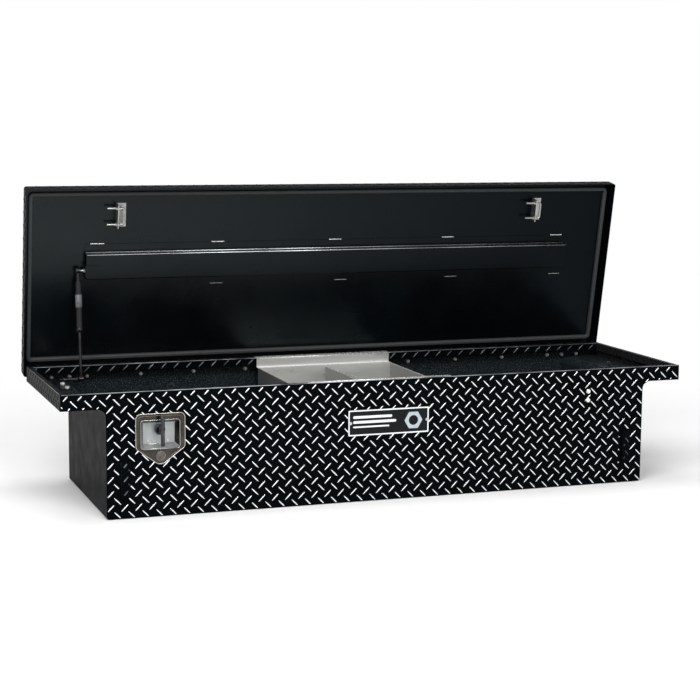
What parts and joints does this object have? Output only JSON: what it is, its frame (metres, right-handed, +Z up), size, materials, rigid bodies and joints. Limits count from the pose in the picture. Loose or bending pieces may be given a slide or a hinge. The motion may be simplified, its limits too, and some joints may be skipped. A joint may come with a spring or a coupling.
{
  "type": "truck tool box",
  "caption": "Low-profile crossover truck bed tool box in black tread plate, with one rear-hinged lid, a folding T-handle latch, a gas strut and a sliding tray.",
  "frame": {"origin": "centre of the underside of the tub floor", "axes": "+X along the box to the right seen from the front, +Y from the latch side to the hinge side, +Z up"},
  "size_m": [1.792, 0.5849, 0.8329],
  "materials": {
    "black_coat": "gloss black powder coat on tread plate",
    "black_inside": "satin black powder coat",
    "badge": "dark anodised plate with light border",
    "stainless": "polished stainless steel",
    "lock_brass": "nickel-plated brass",
    "zinc_steel": "zinc-plated steel",
    "strut_paint": "satin black paint",
    "strut_nitrided": "glossy black nitrided rod with black fittings",
    "bare_aluminium": "bare mill-finish aluminium",
    "seal_rubber": "black EPDM sponge"
  },
  "bodies": {
    "tub": {"front_panel": "black_coat", "back_panel": "black_coat", "tub_floor": "black_inside", "left_end_wall": "black_inside", "right_end_wall": "black_inside", "left_saddle_floor": "black_inside", "right_saddle_floor": "black_inside", "left_saddle_end": "black_coat", "right_saddle_end": "black_coat", "badge_plate": "badge", "badge_rivets": "stainless", "latch_dish": "stainless", "recess_rivets": "stainless", "lock_housing": "stainless", "rod_guides": "zinc_steel", "left_latch_bracket": "zinc_steel", "right_latch_bracket": "zinc_steel", "slave_latch_bolts": "stainless", "left_latch_pins": "zinc_steel", "right_latch_pins": "zinc_steel", "hinge_body_leaf": "stainless", "hinge_pin": "stainless", "hinge_bolts": "zinc_steel", "hinge_nuts": "zinc_steel", "strut_lower_bracket": "zinc_steel", "strut_lower_stud": "zinc_steel", "strut_bracket_bolts": "zinc_steel"},
    "lid": {"lid_skin": "black_coat", "lid_stiffener": "black_coat", "lid_seal": "seal_rubber", "hinge_lid_leaf": "stainless", "hinge_rivets": "zinc_steel", "left_striker_bracket": "zinc_steel", "left_striker_bolt": "zinc_steel", "left_striker_nuts": "zinc_steel", "left_striker_screws": "zinc_steel", "right_striker_bracket": "zinc_steel", "right_striker_bolt": "zinc_steel", "right_striker_nuts": "zinc_steel", "right_striker_screws": "zinc_steel", "strut_upper_bracket": "zinc_steel", "strut_upper_stud": "zinc_steel"},
    "strut_cylinder": {"strut_cylinder": "strut_paint"},
    "strut_rod": {"strut_rod": "strut_nitrided"},
    "tray": {"tray_pan": "bare_aluminium", "tray_divider": "bare_aluminium", "tray_back_hanger": "bare_aluminium", "tray_front_hanger": "bare_aluminium"},
    "spindle": {"handle_spindle": "stainless", "handle_pin": "stainless", "spindle_lever": "zinc_steel"},
    "handle": {"t_handle": "stainless"},
    "lock": {"lock_plug": "lock_brass", "lock_cam": "zinc_steel"},
    "rod": {"connecting_rod": "zinc_steel", "rod_drive_plate": "zinc_steel"},
    "left_trigger": {"left_latch_trigger": "zinc_steel"},
    "right_trigger": {"right_latch_trigger": "zinc_steel"},
    "left_pawl": {"left_latch_pawl": "zinc_steel"},
    "right_pawl": {"right_latch_pawl": "zinc_steel"}
  },
  "joints": [
    {"name": "lid_hinge", "type": "hinge", "parent": "tub", "child": "lid", "pos_m": [0, 0.2615, 0.3075], "axis": [1, 0, 0], "range_deg": [0, 79.4]},
    {"name": "strut_swing", "type": "hinge", "parent": "lid", "child": "strut_cylinder", "pos_m": [-0.746, 0.22732, 0.59614], "axis": [1, 0, 0], "range_deg": [0, 8.08]},
    {"name": "strut_stroke", "type": "slide", "parent": "strut_cylinder", "child": "strut_rod", "axis": [0, 0.0907, 0.9959], "range_m": [0, 0.07079]},
    {"name": "tray_slide", "type": "slide", "parent": "tub", "child": "tray", "axis": [1, 0, 0], "range_m": [-0.34, 0.405]},
    {"name": "handle_turn", "type": "hinge", "parent": "tub", "child": "spindle", "pos_m": [-0.631, -0.23, 0.2275], "axis": [0, -1, 0], "range_deg": [0, 90]},
    {"name": "handle_fold", "type": "hinge", "parent": "spindle", "child": "handle", "pos_m": [-0.631, -0.262, 0.2275], "axis": [0, 0, -1], "range_deg": [0, 90]},
    {"name": "lock_turn", "type": "hinge", "parent": "tub", "child": "lock", "pos_m": [-0.631, -0.245, 0.16], "axis": [0, 1, 0], "range_deg": [0, 90]},
    {"name": "rod_slide", "type": "slide", "parent": "tub", "child": "rod", "axis": [1, 0, 0], "range_m": [0, 0.0198]},
    {"name": "left_trigger_turn", "type": "hinge", "parent": "tub", "child": "left_trigger", "pos_m": [-0.6, -0.215, 0.25], "axis": [0, -1, 0], "range_deg": [0, 25.42]},
    {"name": "right_trigger_turn", "type": "hinge", "parent": "tub", "child": "right_trigger", "pos_m": [0.677, -0.215, 0.25], "axis": [0, -1, 0], "range_deg": [0, 25.42]},
    {"name": "left_pawl_turn", "type": "hinge", "parent": "tub", "child": "left_pawl", "pos_m": [-0.596, -0.197, 0.292], "axis": [0, -1, 0], "range_deg": [0, 55], "stiffness_Nm_per_rad": 0.08},
    {"name": "right_pawl_turn", "type": "hinge", "parent": "tub", "child": "right_pawl", "pos_m": [0.681, -0.197, 0.292], "axis": [0, -1, 0], "range_deg": [0, 55], "stiffness_Nm_per_rad": 0.08}
  ],
  "couplings": [
    {"joint": "strut_swing", "follows": "lid_hinge", "ratio": 0.1017},
    {"joint": "strut_stroke", "follows": "lid_hinge", "m_per_rad": 0.05108},
    {"joint": "rod_slide", "follows": "handle_turn", "m_per_rad": 0.012604},
    {"joint": "left_trigger_turn", "follows": "handle_turn", "ratio": 0.28241},
    {"joint": "right_trigger_turn", "follows": "handle_turn", "ratio": 0.28241}
  ]
}
